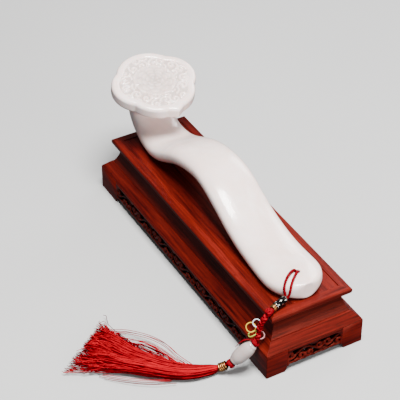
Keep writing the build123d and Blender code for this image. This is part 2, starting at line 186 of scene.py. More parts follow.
class Look:
    """A material being made: its shader, and short ways to add and join nodes."""

    def __init__(self, name, **sockets):
        self.material = bpy.data.materials.new(name)
        self.material.use_nodes = True
        self.tree = self.material.node_tree
        self.shader = self.tree.nodes["Principled BSDF"]
        for socket, value in sockets.items():
            self.shader.inputs[socket.replace("_", " ")].default_value = value
        self.place = self.tree.nodes.new("ShaderNodeTexCoord").outputs["Object"]

    def node(self, kind, output=0, settings=None, **inputs):
        """Adds a node, fills or links its inputs by name, and returns one output."""
        made = self.tree.nodes.new("ShaderNode" + kind)
        for name, value in (settings or {}).items():
            setattr(made, name, value)
        for name, value in inputs.items():
            socket = made.inputs[int(name[1:]) if name[1:].isdigit() else name.replace("_", " ")]
            self.join(value, socket)
        return made.outputs[output]

    def join(self, value, socket):
        if isinstance(value, bpy.types.NodeSocket):
            self.tree.links.new(value, socket)
        else:
            socket.default_value = value

    def set(self, **inputs):
        for name, value in inputs.items():
            self.join(value, self.shader.inputs[name.replace("_", " ")])

    def ramp(self, factor, stops):
        """Colour ramp through (position, colour) stops."""
        made = self.tree.nodes.new("ShaderNodeValToRGB")
        while len(made.color_ramp.elements) < len(stops):
            made.color_ramp.elements.new(0.5)
        for element, (position, colour) in zip(made.color_ramp.elements, stops):
            element.position = position
            element.color = (*colour, 1.0)
        self.join(factor, made.inputs["Fac"])
        return made.outputs["Color"]

    def attribute(self, name):
        """A number that the mesh stores for each point."""
        return self.node("Attribute", output="Fac", settings={"attribute_name": name})

    def scaled(self, scale, place=None):
        return self.node("Mapping", Vector=place or self.place, Scale=scale)

    def noise(self, place, detail, scale=1.0, roughness=0.55, distortion=0.0):
        inputs = {"Scale": scale, "Detail": detail, "Roughness": roughness, "Distortion": distortion}
        return self.node("TexNoise", Vector=place, **inputs)

    def level(self, value, low, high, to_low=0.0, to_high=1.0):
        """Maps low..high of a value to to_low..to_high, and holds it there outside."""
        return self.node("MapRange", _0=value, _1=low, _2=high, _3=to_low, _4=to_high)

    def total(self, *shares):
        """The sum of some values, each given with its weight."""
        made = 0.0
        for value, weight in shares:
            made = self.node("Math", settings={"operation": "MULTIPLY_ADD"}, _0=value, _1=weight, _2=made)
        return made

    def blend(self, factor, first, second, blend_type="MIX"):
        """Mixes two colours."""
        kind = {"data_type": "RGBA", "blend_type": blend_type}
        return self.node("Mix", output=2, settings=kind, _0=factor, _6=first, _7=second)

    def bump(self, height, strength, distance):
        return self.node("Bump", Height=height, Strength=strength, Distance=distance * MM)


def grey(value):
    return (value, value, value)


ROSEWOOD_TONES = [
    (0.32, (0.020, 0.0009, 0.0008)),
    (0.42, (0.050, 0.0023, 0.0018)),
    (0.50, (0.086, 0.0046, 0.0030)),
    (0.58, (0.122, 0.0080, 0.0048)),
    (0.69, (0.172, 0.0155, 0.0095)),
]
JADE_TONES = [(0.30, (0.80, 0.625, 0.575)), (0.48, (0.86, 0.70, 0.655)), (0.66, (0.91, 0.79, 0.76))]


def rosewood(name, along):
    """Oiled rosewood whose grain runs along one axis: bands, streaks and pores."""
    look = Look(name, Specular_IOR_Level=0.22)
    look.shader.inputs["Specular Tint"].default_value = (1.0, 0.35, 0.25, 1.0)
    board = look.attribute("board")
    shift = look.node("CombineXYZ", X=board, Y=board, Z=board)
    place = look.node("VectorMath", settings={"operation": "ADD"}, _0=look.place, _1=shift)

    def stretched(along_scale, across_scale):
        scale = [across_scale] * 3
        scale[along] = along_scale
        return look.scaled(scale, place)

    bands = look.noise(stretched(9.0, 95.0), detail=3.0, distortion=0.7)
    streaks = look.noise(stretched(20.0, 560.0), detail=5.0, roughness=0.66, distortion=0.3)
    fibres = look.noise(stretched(60.0, 2600.0), detail=3.0, roughness=0.6)
    pores = look.noise(stretched(190.0, 3400.0), detail=1.5)
    colour = look.ramp(look.total((bands, 0.42), (streaks, 0.58)), ROSEWOOD_TONES)
    pore = look.level(pores, 0.30, 0.37)
    for strength, factor, stops in (
        (0.5, look.level(streaks, 0.33, 0.42), [(0.0, (0.25, 0.12, 0.12)), (1.0, grey(1.0))]),
        (0.6, fibres, [(0.32, grey(0.66)), (0.62, grey(1.12))]),
        (1.0, pore, [(0.0, (0.35, 0.25, 0.25)), (1.0, grey(1.0))]),
    ):
        colour = look.blend(strength, colour, look.ramp(factor, stops), "MULTIPLY")
    # Painted shade: where a board's painted_shade value is high, its colour goes to near-black red.
    colour = look.blend(look.attribute("painted_shade"), colour, (0.006, 0.0008, 0.0006, 1.0))
    worn = look.total((fibres, 1.0), (pore, 0.4))
    look.set(Base_Color=colour, Roughness=look.level(worn, 0.3, 1.1, 0.55, 0.32))
    look.set(Normal=look.bump(look.total((fibres, 0.5), (pore, 0.6)), 0.35, 0.12))
    return look.material


def jade(name, warm, depth=1.0):
    """Polished white nephrite: cloudy, slightly translucent, with faint warm wisps."""
    look = Look(
        name,
        Roughness=0.22,
        Subsurface_Weight=0.3,
        Subsurface_Scale=0.0010,
        Subsurface_Radius=(1.0, 0.5, 0.33),
        Coat_Weight=0.4,
        Coat_Roughness=0.06,
        IOR=1.55,
    )
    clouds = look.noise(look.scaled((26.0, 34.0, 34.0)), detail=5.0, roughness=0.6, distortion=1.1)
    wisps = look.noise(look.scaled((60.0, 150.0, 110.0)), detail=6.0, roughness=0.65, distortion=2.2)
    flecks = look.noise(look.place, scale=900.0, detail=2.0)
    colour = look.ramp(clouds, JADE_TONES)
    colour = look.blend(look.level(wisps, 0.60, 0.74, 0.0, warm), colour, (0.80, 0.62, 0.50, 1.0))
    colour = look.blend(look.level(flecks, 0.66, 0.74, 0.0, 0.35), colour, (0.94, 0.90, 0.88, 1.0))
    # Painted shade: the relief's low places go towards a grey-brown by their painted_shade value.
    colour = look.blend(look.attribute("painted_shade"), colour, (0.34, 0.27, 0.245, 1.0))
    # A depth below 1 darkens the whole colour: painted shade, for a dimmer copy of the jade.
    colour = look.blend(1.0, colour, (depth, depth, depth, 1.0), "MULTIPLY")
    look.set(Base_Color=colour)
    look.set(Normal=look.bump(look.noise(look.place, scale=260.0, detail=3.0), 0.06, 0.2))
    return look.material


def thread_look(name, dark, bright):
    """Twisted silky thread: fine fibres, and a tone that changes along each one."""
    look = Look(name, Roughness=0.5, Specular_IOR_Level=0.08)
    tint = [0.15 + 0.85 * channel / max(bright) for channel in bright]
    look.shader.inputs["Specular Tint"].default_value = (*tint, 1.0)
    fibres = look.noise(look.place, scale=2600.0, detail=3.0)
    patches = look.noise(look.place, scale=230.0, detail=2.0)
    mixed = look.total((fibres, 0.3), (patches, 0.25), (look.attribute("tone"), 0.6))
    colour = look.ramp(mixed, [(0.28, dark), (0.80, bright)])
    look.set(Base_Color=colour, Normal=look.bump(fibres, 0.4, 0.08))
    return look.material


def clouded(name, scale, detail, stops, roughness, **sockets):
    """A look whose colour and roughness both follow one cloudy noise."""
    look = Look(name, **sockets)
    cloud = look.noise(look.place, scale=scale, detail=detail)
    look.set(Base_Color=look.ramp(cloud, stops), Roughness=look.level(cloud, 0.3, 0.7, *roughness))
    return look.material


def gilt_look(name):
    """Gilt wire: worn in places, and painted dark brown where the tone is low, as shade in the gaps between
    the coil's turns.
    """
    look = Look(name, Metallic=1.0)
    wear = look.noise(look.place, scale=420.0, detail=4.0, roughness=0.6)
    colour = look.ramp(wear, [(0.35, (0.20, 0.075, 0.024)), (0.62, (0.58, 0.30, 0.110))])
    # Painted shade: a low tone turns the gilt dark brown.
    gilt_unshaded = look.level(look.attribute("tone"), 0.0, 0.5)
    colour = look.blend(gilt_unshaded, (0.030, 0.010, 0.006, 1.0), colour)
    look.set(Base_Color=colour, Roughness=look.level(wear, 0.3, 0.7, 0.45, 0.25))
    look.set(Normal=look.bump(look.noise(look.place, scale=3000.0, detail=2.0), 0.15, 0.05))
    return look.material


WOOD_X = rosewood("rosewood_long", 0)
WOOD_Y = rosewood("rosewood_cross", 1)
JADE = jade("white_jade", 0.22)
# The bead's jade is the same stone dimmed to half: painted shade.
BEAD_JADE = jade("bead_jade", 0.12, 0.50)
RED_SILK = thread_look("red_silk", (0.038, 0.0002, 0.0010), (0.38, 0.0007, 0.0090))
RED_CORD = thread_look("red_cord", (0.020, 0.0002, 0.0008), (0.26, 0.0020, 0.0090))
GILT = gilt_look("gilt_wire")
GLAZE_TONES = [(0.35, (0.0012, 0.0012, 0.0016)), (0.7, (0.004, 0.003, 0.003))]
GLAZE_SHINE = {"Coat_Weight": 0.03, "Coat_Roughness": 0.05, "Specular_IOR_Level": 0.06}
BLACK = clouded("black_glaze", 500.0, 3.0, GLAZE_TONES, (0.18, 0.3), **GLAZE_SHINE)
SILVER_TONES = [(0.35, (0.40, 0.36, 0.30)), (0.6, (0.92, 0.88, 0.80))]
SILVER = clouded("silver_inlay", 900.0, 4.0, SILVER_TONES, (0.45, 0.25), Metallic=1.0)
FLOOR_TONES = [(0.3, (0.43, 0.43, 0.43)), (0.7, (0.45, 0.45, 0.45))]
PALE_FLOOR = clouded("pale_floor", 3.0, 4.0, FLOOR_TONES, (0.65, 0.65))


# ---- mesh building


class Shape:
    """Points in millimetres and faces, gathered from several closed parts."""

    def __init__(self):
        self.points = []
        self.faces = []
        self.tones = []

    def add(self, points, faces, tone=0.5):
        first = len(self.points)
        self.points.extend(tuple(p) for p in points)
        self.faces.extend(tuple(first + i for i in face) for face in faces)
        self.tones.extend([tone] * (len(self.points) - first))
        return self


# The angles of a quarter turn
QUARTER = np.linspace(0.0, math.pi / 2, 9)


def rising(value, start, width):
    """0 up to a start, then up evenly to 1 over a width."""
    return np.clip((value - start) / width, 0.0, 1.0)


def towards(direction):
    """The turn that brings the Z axis to a direction."""
    return Vector(direction).to_track_quat("Z", "Y").to_matrix()


def placed(centre, direction, x, y, z):
    """Points given about an upright axis, set at a centre and a direction."""
    local = np.stack(np.broadcast_arrays(x, y, z), axis=-1)
    return local @ np.array(towards(direction)).T + np.array(centre)


def wound(centre, direction, reach, angle, along):
    """Points round a line, each at a distance, an angle and a place along it."""
    return placed(centre, direction, reach * np.cos(angle), reach * np.sin(angle), along)


def link(name, data):
    made = bpy.data.objects.new(name, data)
    bpy.context.scene.collection.objects.link(made)
    return made


def finish_piece(piece, body, slot, node, *materials):
    """Materials, body and the CAD node that the piece stands for. The slot is not used."""
    piece.data.materials.clear()
    for material in materials:
        piece.data.materials.append(material)
    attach(piece, body)
    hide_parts(node)
    return piece


def store(mesh, name, values):
    """Keeps a number for each point of a mesh, for its material to read."""
    values = np.array(np.broadcast_to(values, len(mesh.vertices)), "f")
    mesh.attributes.new(name, "FLOAT", "POINT").data.foreach_set("value", values)


def point_rows(mesh, what="co"):
    """The points' places or normals, one row each."""
    rows = np.empty(len(mesh.vertices) * 3)
    mesh.vertices.foreach_get(what, rows)
    return rows.reshape(-1, 3)


def shape_object(name, shape, sharp=None):
    """An object from a shape in millimetres, shaded smooth but for sharp angles."""
    mesh = bpy.data.meshes.new(name)
    mesh.from_pydata([tuple(c * MM for c in p) for p in shape.points], [], shape.faces)
    store(mesh, "tone", shape.tones)
    edit = bmesh.new()
    edit.from_mesh(mesh)
    bmesh.ops.recalc_face_normals(edit, faces=edit.faces)
    edit.to_mesh(mesh)
    edit.free()
    mesh.shade_smooth()
    if sharp is not None:
        mesh.set_sharp_from_angle(angle=math.radians(sharp))
    return link(name, mesh)


def opened(node):
    """A copy of a CAD node's mesh, open for editing, with its seams joined."""
    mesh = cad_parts[node].data.copy()
    edit = bmesh.new()
    edit.from_mesh(mesh)
    bmesh.ops.remove_doubles(edit, verts=edit.verts, dist=SEAM * MM)
    return mesh, edit


def remesh(piece, voxel):
    """Joins a piece's parts into one surface, at a voxel size in millimetres."""
    step = piece.modifiers.new("remesh", "REMESH")
    step.mode = "VOXEL"
    step.voxel_size = voxel * MM


def smooth(piece, rounds, group=""):
    """Smooths a piece, or only its points in one group, by that group's weights."""
    step = piece.modifiers.new("smooth", "SMOOTH")
    step.factor = 0.5
    step.iterations = rounds
    step.vertex_group = group


def apply_modifiers(piece):
    graph = bpy.context.evaluated_depsgraph_get()
    made = bpy.data.meshes.new_from_object(piece.evaluated_get(graph))
    piece.modifiers.clear()
    piece.data = made


def frames_along(path, closed=False):
    """Two directions across a path at each point, carried along it without twist."""
    if closed:
        steps = np.roll(path, -1, axis=0) - np.roll(path, 1, axis=0)
    else:
        steps = np.gradient(path, axis=0)
    tangents = steps / np.linalg.norm(steps, axis=1)[:, None]
    across = np.cross(tangents[0], (0.0, 0.0, 1.0))
    if np.linalg.norm(across) < 0.1:
        across = np.cross(tangents[0], (1.0, 0.0, 0.0))
    sides = []
    for tangent in tangents:
        across = across - tangent * across.dot(tangent)
        across = across / np.linalg.norm(across)
        sides.append(across)
    sides = np.array(sides)
    ups = np.cross(tangents, sides)
    if closed:
        last = sides[-1] - tangents[0] * sides[-1].dot(tangents[0])
        gap = math.atan2(last.dot(ups[0]), last.dot(sides[0]))
        turn = -gap * np.arange(len(path)) / len(path)
        cos, sin = np.cos(turn)[:, None], np.sin(turn)[:, None]
        sides, ups = sides * cos + ups * sin, ups * cos - sides * sin
    return sides, ups


def winding(path, angle, reach):
    """A line that winds round a path, at an angle and a distance for each point."""
    across, up = frames_along(path)
    angle = angle[:, None]
    return path + (across * np.cos(angle) + up * np.sin(angle)) * np.reshape(reach, (-1, 1))


def ring_faces(rings, sides, closed):
    """Faces between rings of points, with end caps where the rings don't close."""
    faces = []
    for ring in range(rings if closed else rings - 1):
        after = (ring + 1) % rings
        for side in range(sides):
            beside = (side + 1) % sides
            corners = (ring, side), (ring, beside), (after, beside), (after, side)
            faces.append(tuple(row * sides + place for row, place in corners))
    if not closed:
        faces.append(tuple(reversed(range(sides))))
        faces.append(tuple(range((rings - 1) * sides, rings * sides)))
    return faces


def tube(path, radius, sides, closed=False):
    """Round tube along a path; the radius may change from point to point."""
    path = np.asarray(path, float)
    across, up = frames_along(path, closed)
    radius = np.broadcast_to(np.asarray(radius, float), len(path))[:, None, None]
    turn = (2 * math.pi * np.arange(sides) / sides)[None, :, None]
    ring = across[:, None, :] * np.cos(turn) + up[:, None, :] * np.sin(turn)
    points = (path[:, None, :] + ring * radius).reshape(-1, 3)
    return points, ring_faces(len(path), sides, closed)


def turned(profile, start, direction, sides):
    """Solid of revolution about a line; the closed profile gives (radius, along)."""
    turn = (2 * math.pi * np.arange(sides) / sides)[:, None]
    radius, along = np.array(profile).T
    points = wound(start, direction, radius, turn, along)
    return points.reshape(-1, 3), ring_faces(sides, len(profile), True)


def spline_line(name, route):
    """The smooth line of a route: points read from its NURBS spline, in mm."""
    curve = bpy.data.curves.new(name, "CURVE")
    curve.dimensions = "3D"
    spline = curve.splines.new("NURBS")
    spline.points.add(len(route) - 1)
    for point, place in zip(spline.points, route):
        point.co = (*(c * MM for c in place), 1.0)
    spline.order_u = 3
    spline.use_endpoint_u = True
    spline.resolution_u = 24
    holder = link(name, curve)
    graph = bpy.context.evaluated_depsgraph_get()
    graph.update()
    mesh = bpy.data.meshes.new_from_object(holder.evaluated_get(graph))
    line = np.array([tuple(v.co) for v in mesh.vertices]) / MM
    bpy.data.meshes.remove(mesh)
    bpy.data.objects.remove(holder)
    bpy.data.curves.remove(curve)
    return line


def evenly(line, step):
    """The same line with points one step apart."""
    along = np.concatenate([[0.0], np.cumsum(np.linalg.norm(np.diff(line, axis=0), axis=1))])
    count = max(2, int(round(along[-1] / step)) + 1)
    places = np.linspace(0.0, along[-1], count)
    even = np.stack([np.interp(places, along, column) for column in line.T], axis=1)
    return even, places


def smooth_stations(stations, steps):
    """Catmull-Rom curve through rows of numbers."""
    rows = np.vstack([2 * stations[0] - stations[1], stations, 2 * stations[-1] - stations[-2]])
    t = np.linspace(0.0, 1.0, steps, endpoint=False)[:, None]
    made = []
    for before, start, end, after in zip(rows, rows[1:], rows[2:], rows[3:]):
        squared = (2 * before - 5 * start + 4 * end - after) * t**2
        cubed = (3 * start - before - 3 * end + after) * t**3
        made.append(start + 0.5 * ((end - before) * t + squared + cubed))
    return np.vstack(made + [stations[-1]])


# ---- stand

# The one place in the wood that all feet share, and the angle that is eased
FOOT_BOARD = 1.3
SHARP_EDGE = math.radians(28)
SIDES = ("left", "right", "tail", "head")
WOOD_ALONG = {"left": WOOD_X, "right": WOOD_X, "tail": WOOD_Y, "head": WOOD_Y}


def place_in_wood():
    """Where a board is cut from the wood, so that no two share a streak."""
    return random.uniform(0.0, 3.0)


def at_apron(edge):
    """Whether an edge of a foot lies where the apron meets it, flush and unseen."""
    inner_x = BASE_LENGTH / 2 - FOOT_LENGTH
    inner_y = BASE_WIDTH / 2 - FOOT_WIDTH
    places = [vertex.co / MM for vertex in edge.verts]
    along = all(abs(abs(p.x) - inner_x) < 0.01 for p in places)
    across = all(abs(abs(p.y) - inner_y) < 0.01 for p in places)
    top = all(p.z > APRON_TOP - 0.01 for p in places)
    return along or across or top


def softened(node, material, width):
    """The CAD board with its sharp edges eased, as sanded and oiled wood has."""
    foot = node.startswith("foot")
    mesh, edit = opened(node)
    bmesh.ops.dissolve_limit(edit, angle_limit=math.radians(0.6), verts=edit.verts, edges=edit.edges)
    edges = []
    for edge in edit.edges:
        if edge.is_manifold and edge.calc_face_angle() > SHARP_EDGE and not (foot and at_apron(edge)):
            edges.append(edge)
    bmesh.ops.bevel(
        edit, geom=edges, offset=width * MM, segments=3, profile=0.5, affect="EDGES", clamp_overlap=True
    )
    bmesh.ops.triangulate(edit, faces=[face for face in edit.faces if len(face.verts) > 4])
    edit.to_mesh(mesh)
    edit.free()
    mesh.shade_smooth()
    mesh.set_sharp_from_angle(angle=math.radians(40))
    piece = link(node + "_wood", mesh)
    piece.modifiers.new("even_shading", "WEIGHTED_NORMAL").keep_sharp = True
    store(mesh, "board", FOOT_BOARD if foot else place_in_wood())
    # Plain boards carry no painted shade.
    store(mesh, "painted_shade", 0.0)
    return finish_piece(piece, "stand", "rosewood", node, material)


def foot_grain(piece):
    """A bracket foot is two boards: each face's grain runs level along it."""
    piece.data.materials.append(WOOD_Y)
    for face in piece.data.polygons:
        face.material_index = int(abs(face.normal.x) > 0.7)


def stand_boards():
    """Every plain board of the stand, and the width to which its edges are eased."""
    for part, width in (("top_rail", 0.4), ("waist", 0.25), ("moulding", 0.4)):
        for side in SIDES:
            softened(f"{part}_{side}", WOOD_ALONG[side], width)
    softened("top_panel", WOOD_X, 0.2)
    softened("corner_blocks", WOOD_X, 0.4)
    for end in ("tail", "head"):
        for side in ("left", "right"):
            foot_grain(softened(f"foot_{end}_{side}", WOOD_X, 0.45))


# Carved aprons: a running scroll between a top band and a scalloped lower edge.
# CURL_ASIDE is in parts of half a wave.
BAND_LOW = 16.2
BAND_DEPTH = 6.0
CARVING_MIDDLE = 10.5
CARVING_RISE = 3.6
CARVING_FRONT = 0.3
CARVING_BACK = 4.9
CARVING_VOXEL = 0.42
CARVING_ROUNDS = 2
STEM_STEPS = 14
STEM_HALF_WIDTH = 0.8
SCALLOP_STEPS = 8
SCALLOP_RISE = 0.55
EDGE_HALF_WIDTH = 0.75
CURL_ASIDE = 0.27
CURL_TURNS = 1.2
CURL_OUTER = 3.7
CURL_INNER = 0.9
EYE_HALF_WIDTHS = (0.7, 1.2, 0.7)
LEAF_HALF_LENGTH = 2.6
ARCH_REACH = 5.2
ARCH_RISE = 5.6
ARCH_HALF_WIDTH = 1.25
END_DEPTH = 5.8
END_WIDTH = 1.3
STRAP_SIDES = 12
STRAP_ROUNDING = 0.55
LEAF_HALF_WIDTHS = (0.25, 0.8, 1.15, 1.3, 1.15, 0.8, 0.25)


def strap(path, half_widths, front, back):
    """A carved stem in the board's plane: path gives (along, height), and the
    section is a soft oblong between two depths."""
    path = np.asarray(path, float)
    steps = np.gradient(path, axis=0)
    steps = steps / np.linalg.norm(steps, axis=1)[:, None]
    normals = np.stack([-steps[:, 1], steps[:, 0]], axis=1)
    half_widths = np.broadcast_to(np.asarray(half_widths, float), len(path))
    section = []
    for side in range(STRAP_SIDES):
        angle = 2 * math.pi * (side + 0.5) / STRAP_SIDES
        flat = [math.cos(angle), math.sin(angle)]
        wide, deep = (math.copysign(abs(x) ** STRAP_ROUNDING, x) for x in flat)
        section.append((wide, (front + back) / 2 + deep * (back - front) / 2))
    points = []
    for (along, height), normal, half_width in zip(path, normals, half_widths):
        for wide, deep in section:
            across = wide * half_width
            points.append((along + normal[0] * across, deep, height + normal[1] * across))
    return points, ring_faces(len(path), STRAP_SIDES, False)


def block(low, high):
    """A plain closed box between two corners, for parts that a remesh joins."""
    points = [(x, y, z) for x in (low[0], high[0]) for y in (low[1], high[1]) for z in (low[2], high[2])]
    faces = [(0, 1, 3, 2), (4, 6, 7, 5), (0, 4, 5, 1), (2, 3, 7, 6), (0, 2, 6, 4), (1, 5, 7, 3)]
    return points, faces


def spiral(centre, start_angle, turns, outer, inner, handed, steps):
    """Points of a curl that winds in from its outer radius."""
    points = []
    for step in range(steps + 1):
        part = step / steps
        angle = start_angle + handed * 2 * math.pi * turns * part
        radius = outer + (inner - outer) * part**0.85
        points.append((centre[0] + radius * math.cos(angle), centre[1] + radius * math.sin(angle)))
    return points


def flat_curve(points, count):
    """A smooth flat curve from the first of three points to the last."""
    (x0, z0), (x1, z1), (x2, z2) = points
    made = []
    for part in np.linspace(0.0, 1.0, count):
        a, b, c = (1 - part) ** 2, 2 * part * (1 - part), part**2
        made.append((a * x0 + b * x1 + c * x2, a * z0 + b * z1 + c * z2))
    return made


def half_wave(board, middle, pitch, falling):
    """Half a wave of the scroll, where its stem rises or falls: a curl with an
    eye on each side of the stem, and a leaf above or below it."""
    up = -1 if falling else 1
    for turn in (-1, 1):
        x, z = middle + turn * pitch * CURL_ASIDE, CARVING_MIDDLE - 0.4 - turn * up * 1.7
        start = math.pi / 2 * (1 + up * turn) + 0.4 * turn
        curl = spiral((x, z), start, CURL_TURNS, CURL_OUTER, CURL_INNER, turn * up, 34)
        board.add(*strap(curl, np.linspace(0.9, 0.6, len(curl)), CARVING_FRONT, CARVING_BACK - 0.6))
        eye = [(x - 0.5, z), (x, z), (x + 0.5, z)]
        board.add(*strap(eye, EYE_HALF_WIDTHS, CARVING_FRONT - 0.1, CARVING_BACK - 1.0))
    height = BAND_LOW - 1.4 if falling else APRON_BOTTOM + 2.2
    tips = height - 0.7 * up
    ends = (middle - LEAF_HALF_LENGTH, tips), (middle + LEAF_HALF_LENGTH, tips)
    leaf = flat_curve([ends[0], (middle, height), ends[1]], len(LEAF_HALF_WIDTHS))
    board.add(*strap(leaf, LEAF_HALF_WIDTHS, CARVING_FRONT + 0.1, CARVING_BACK - 0.8))


def apron_shape(span, units):
    """The carved board, its middle at 0: band, stem, scroll, lower edge and ends."""
    board = Shape()
    half, pitch = span / 2, span / units
    board.add(*block((-half, 0.0, BAND_LOW), (half, BAND_DEPTH, APRON_TOP)))
    stem = []
    for along in np.linspace(0.0, span, units * STEM_STEPS + 1):
        stem.append((along - half, CARVING_MIDDLE - CARVING_RISE * math.cos(math.pi * along / pitch)))
    board.add(*strap(stem, STEM_HALF_WIDTH, CARVING_FRONT + 0.4, CARVING_BACK))
    for unit in range(units):
        half_wave(board, (unit + 0.5) * pitch - half, pitch, unit % 2 == 1)
    edge = []
    for along in np.linspace(0.0, span, units * 2 * SCALLOP_STEPS + 1):
        rise = abs(math.sin(2 * math.pi * along / pitch))
        edge.append((along - half, APRON_BOTTOM + 0.95 + SCALLOP_RISE * rise))
    board.add(*strap(edge, EDGE_HALF_WIDTH, CARVING_FRONT + 0.1, CARVING_BACK))
    for end in (-1, 1):
        arch = []
        for angle in QUARTER:
            inset = 0.2 + ARCH_REACH * (1 - math.cos(angle))
            arch.append((end * (half - inset), BAND_LOW - 5.0 + ARCH_RISE * math.sin(angle)))
        board.add(*strap(arch, ARCH_HALF_WIDTH, 0.0, END_DEPTH))
        inner, outer = sorted((end * half, end * (half - END_WIDTH)))
        board.add(*block((inner, 0.0, APRON_BOTTOM), (outer, END_DEPTH, BAND_LOW + 1.0)))
    return board


def carved_apron(side):
    """Pierced apron with a running scroll, as one carved board."""
    if side in ("left", "right"):
        board, reach = apron_shape(BASE_LENGTH - 2 * FOOT_LENGTH, 12), BASE_WIDTH / 2
    else:
        board, reach = apron_shape(BASE_WIDTH - 2 * FOOT_WIDTH, 3), BASE_LENGTH / 2
    turn = {"left": 0.0, "right": math.pi, "tail": math.pi / 2, "head": -math.pi / 2}[side]
    place = Matrix.Rotation(turn, 4, "Z") @ Matrix.Translation((0.0, -reach, 0.0))
    board.points = [tuple(place @ Vector(p)) for p in board.points]
    piece = shape_object(f"apron_{side}_carved", board)
    remesh(piece, CARVING_VOXEL)
    smooth(piece, CARVING_ROUNDS)
    apply_modifiers(piece)
    mesh = piece.data
    mesh.shade_smooth()
    store(mesh, "board", place_in_wood())
    # Painted shade: points set back into the pierced carving, below the band, are darkened the deeper they
    # lie.
    outward = np.array([math.sin(turn), -math.cos(turn), 0.0])
    places = point_rows(mesh) / MM
    depth = reach - places @ outward
    store(mesh, "painted_shade", rising(depth, 0.5, 1.1) * 0.97 * (places[:, 2] < BAND_LOW + 0.3))
    finish_piece(piece, "stand", "rosewood", f"apron_{side}", WOOD_ALONG[side])


# ---- ruyi

# The head's surface: the lowest level of its rim's top, and the levels of its
# sunk field, along its normal
RIM_LOW = -0.25
FIELD_HIGH = -0.4
FIELD_LOW = -1.1
# The flower: how far ahead of the head's middle it lies, where its petals end
# and the curls begin, and each ring's petals, reach, lift and turn
FLOWER_AHEAD = 1.0
FLOWER_REACH = 15.5
CURLS_FROM = 15.8
CURL_HALF_WIDTH = 1.05
FLOWER_RINGS = (
    (11, 16.5, 0.45, 0.2),
    (9, 13.0, 0.60, 0.5),
    (8, 9.8, 0.75, 0.9),
    (6, 6.6, 0.88, 0.1),
    (5, 3.4, 1.00, 0.5),
)


def head_strokes():
    """Raised lines of the head's carving in its own plane: cloud curls, packed
    in rows that cover the field."""
    strokes = []
    for row in range(-4, 6):
        for column in range(-4, 5):
            ahead = 7.6 * row + random.uniform(-1.0, 1.0)
            aside = 8.0 * (column + 0.5 * (row % 2)) + random.uniform(-1.0, 1.0)
            handed = 1 if (row + column) % 2 else -1
            start = random.uniform(0, 2 * math.pi)
            outer = random.uniform(3.6, 4.8)
            strokes.append(spiral((ahead, aside), start, 1.2, outer, 0.6, handed, 26))
    return strokes


def flower(radius, angle):
    """Height of a many-petalled flower, 0 to 1, in polar coordinates, and how
    far down between or behind its petals each place lies, which is painted as shade."""
    height = np.zeros_like(radius)
    shade = np.zeros_like(radius)
    for petals, reach, lift, turn in FLOWER_RINGS:
        edge = reach * (0.80 + 0.20 * np.abs(np.cos(petals * (angle + turn) / 2)) ** 0.6)
        inside = rising(edge - radius, 0.0, 0.7)
        crease = np.abs(np.sin(petals * (angle + turn) / 2 + math.pi / 2)) ** 0.35
        dome = 0.5 + 0.5 * np.clip(radius / edge, 0.0, 1.0) ** 3
        raised = dome * (0.40 + 0.60 * crease)
        height = np.where(inside > 0, inside * lift * raised + (1 - inside) * height, height)
        shade = np.where(inside > 0, inside * (1 - raised) + (1 - inside) * shade, shade)
    return height, shade


def nearest(points, places):
    """The distance from each flat place to the nearest of some flat points."""
    tree = kdtree.KDTree(len(points))
    for number, point in enumerate(points):
        tree.insert((*point, 0.0), number)
    tree.balance()
    return np.array([tree.find((*place, 0.0))[2] for place in places])


def carve_head(mesh):
    """Adds the low relief inside the head's rim, along the head's normal, and paints shade into the
    relief's low places.
    """
    places = point_rows(mesh)
    facing = point_rows(mesh, "normal") @ np.array(HEAD_NORMAL)
    local = places / MM - np.array(HEAD_CENTRE)
    level = local @ np.array(HEAD_NORMAL)
    ahead, aside = local @ np.array(HEAD_AHEAD), local[:, 1]
    u = ahead * math.cos(HEAD_TURN) + aside * math.sin(HEAD_TURN)
    v = aside * math.cos(HEAD_TURN) - ahead * math.sin(HEAD_TURN)
    flat = np.stack([u, v], axis=1)
    on_head = np.hypot(u, v) < HEAD_REACH
    rim = flat[(level > RIM_LOW) & (facing > 0.8) & on_head]
    field = np.flatnonzero((level < FIELD_HIGH) & (level > FIELD_LOW) & (facing > 0.9) & on_head)
    u, v = u[field], v[field]
    lines = np.vstack([evenly(np.array(stroke), 0.3)[0] for stroke in head_strokes()])
    to_rim, to_line = nearest(rim, flat[field]), nearest(lines, flat[field])
    radius = np.hypot(u - FLOWER_AHEAD, v)
    petals, shade = flower(radius, np.arctan2(v, u - FLOWER_AHEAD))
    curls = np.clip(1 - (to_line / CURL_HALF_WIDTH) ** 2, 0.0, 1.0) ** 0.8 * rising(radius, CURLS_FROM, 1.2)
    ground = 0.10 * np.sin(u * 1.9) * np.sin(v * 2.1)
    height = np.maximum(petals, 0.8 * curls) + ground * (1 - np.maximum(petals, curls))
    height *= rising(to_rim, 0.6, 1.2)
    places[field] += np.array(HEAD_NORMAL) * (height * HEAD_RELIEF * MM)[:, None]
    mesh.vertices.foreach_set("co", places.reshape(-1))
    # Painted shade between and behind the petals and on the ground between the curls, fading out towards
    # the rim.
    painted_shade = np.zeros(len(places))
    between_curls = 0.55 * np.clip(1 - 1.4 * curls, 0.0, 1.0)
    down = np.where(radius < FLOWER_REACH, 1.3 * shade, between_curls)
    painted_shade[field] = np.clip(down, 0.0, 0.8) * rising(to_rim, 0.2, 0.8)
    store(mesh, "painted_shade", painted_shade)
    mesh.update()


